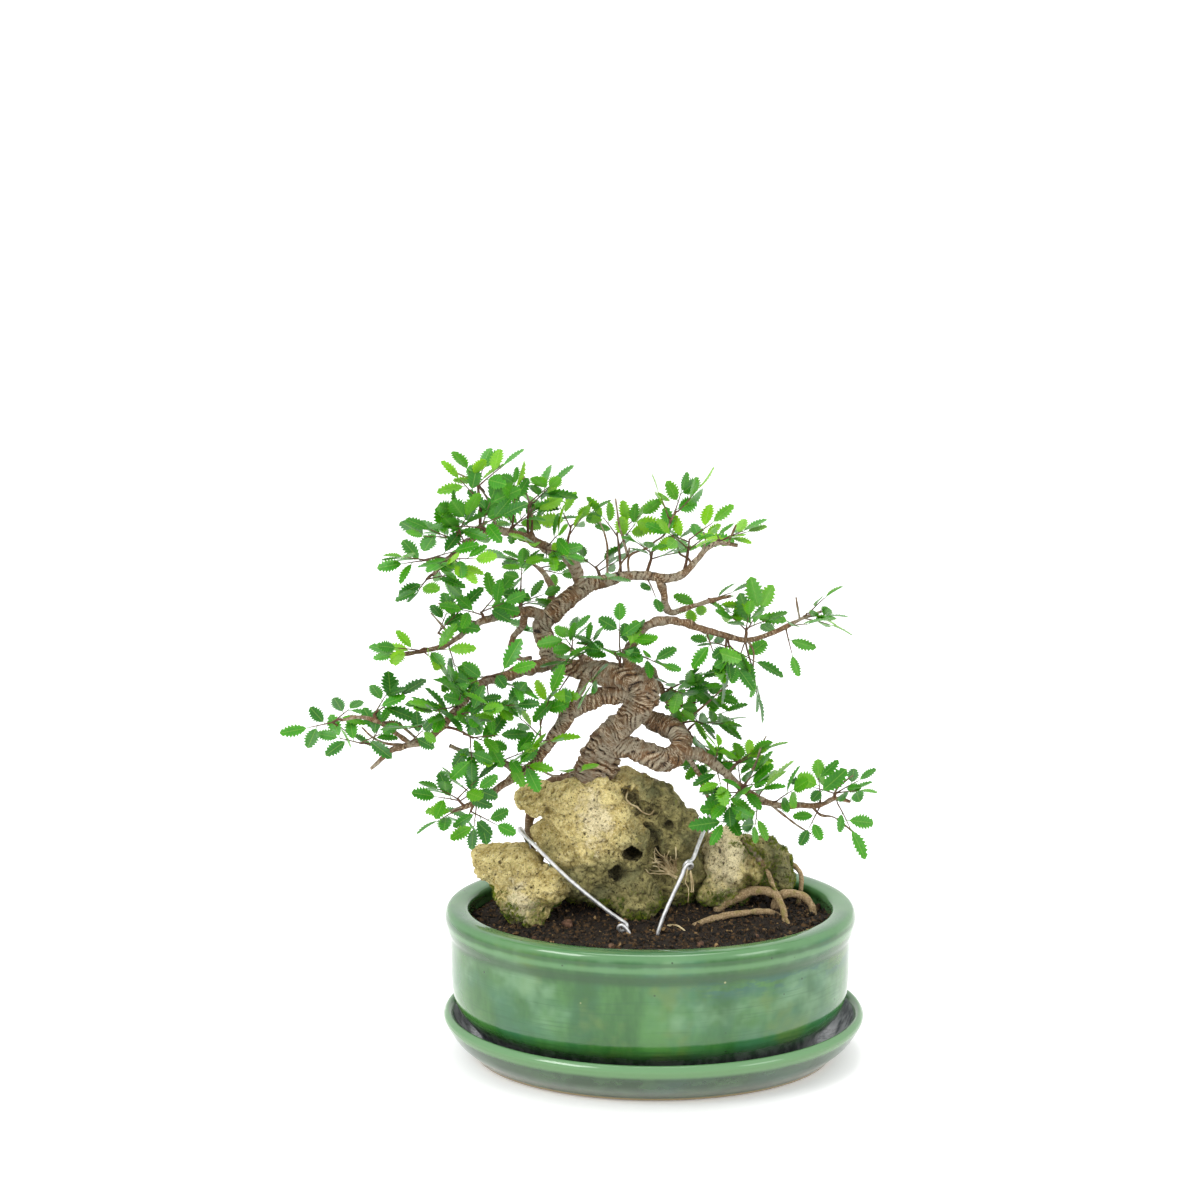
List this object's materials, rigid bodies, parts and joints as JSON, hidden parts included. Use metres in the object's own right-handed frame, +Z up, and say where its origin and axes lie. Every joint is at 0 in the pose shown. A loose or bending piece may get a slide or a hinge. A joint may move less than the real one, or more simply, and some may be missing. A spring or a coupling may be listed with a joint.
{
  "type": "potted bonsai tree",
  "caption": "Small-leaved bonsai trained over a porous rock, wired into a glazed oval pot on a matching saucer.",
  "frame": {"origin": "on the table below the centre of the pot", "axes": "+X to the right seen from the front, +Y to the back, +Z up"},
  "size_m": [0.2927, 0.1572, 0.3151],
  "materials": {
    "pot_glaze": "glossy green celadon glaze on stoneware",
    "saucer_glaze": "glossy green celadon glaze on stoneware, with an unglazed foot",
    "soil": "moist dark soil",
    "stone": "rough porous limestone",
    "mossy_stone": "rough porous limestone with moss",
    "bark": "ropy bark",
    "leaf": "semi-matt living leaf",
    "young_leaf": "semi-matt living leaf, lighter",
    "wire": "dull drawn wire"
  },
  "bodies": {
    "root": {"pot": "pot_glaze", "rock_left": "stone", "rock_main": "stone", "rock_right": "mossy_stone", "saucer": "saucer_glaze", "soil": "soil", "spray_apex_back": "leaf", "spray_apex_front": "leaf", "spray_apex_low": "young_leaf", "spray_apex_middle": "young_leaf", "spray_apex_right": "leaf", "spray_apex_tip": "young_leaf", "spray_back_crown": "leaf", "spray_back_right_high": "leaf", "spray_back_right_low": "leaf", "spray_centre": "leaf", "spray_centre_left": "leaf", "spray_centre_right": "leaf", "spray_crown_shoot": "young_leaf", "spray_far_left_high": "leaf", "spray_far_left_tip": "leaf", "spray_far_left_under": "leaf", "spray_left_high": "leaf", "spray_left_tip": "young_leaf", "spray_low_left_high": "young_leaf", "spray_low_left_tip": "leaf", "spray_low_left_under": "leaf", "spray_low_right_end": "leaf", "spray_low_right_front": "leaf", "spray_low_right_high": "young_leaf", "spray_mid_left_high": "leaf", "spray_mid_left_low": "leaf", "spray_mid_left_near": "leaf", "spray_mid_left_under": "leaf", "spray_right_end": "young_leaf", "spray_right_middle": "leaf", "spray_right_spur": "young_leaf", "spray_right_under": "leaf", "spray_second_left": "leaf", "spray_second_middle": "leaf", "spray_top_back": "leaf", "spray_top_end": "young_leaf", "spray_top_middle": "leaf", "spray_top_right": "young_leaf", "spray_top_shoot": "young_leaf", "spray_upper_left_back": "leaf", "spray_upper_left_front": "young_leaf", "spray_upper_left_high": "leaf", "spray_upper_left_low": "leaf", "spray_upper_left_tip": "leaf", "tree": "bark", "wire_left": "wire", "wire_right": "wire"}
  },
  "joints": []
}
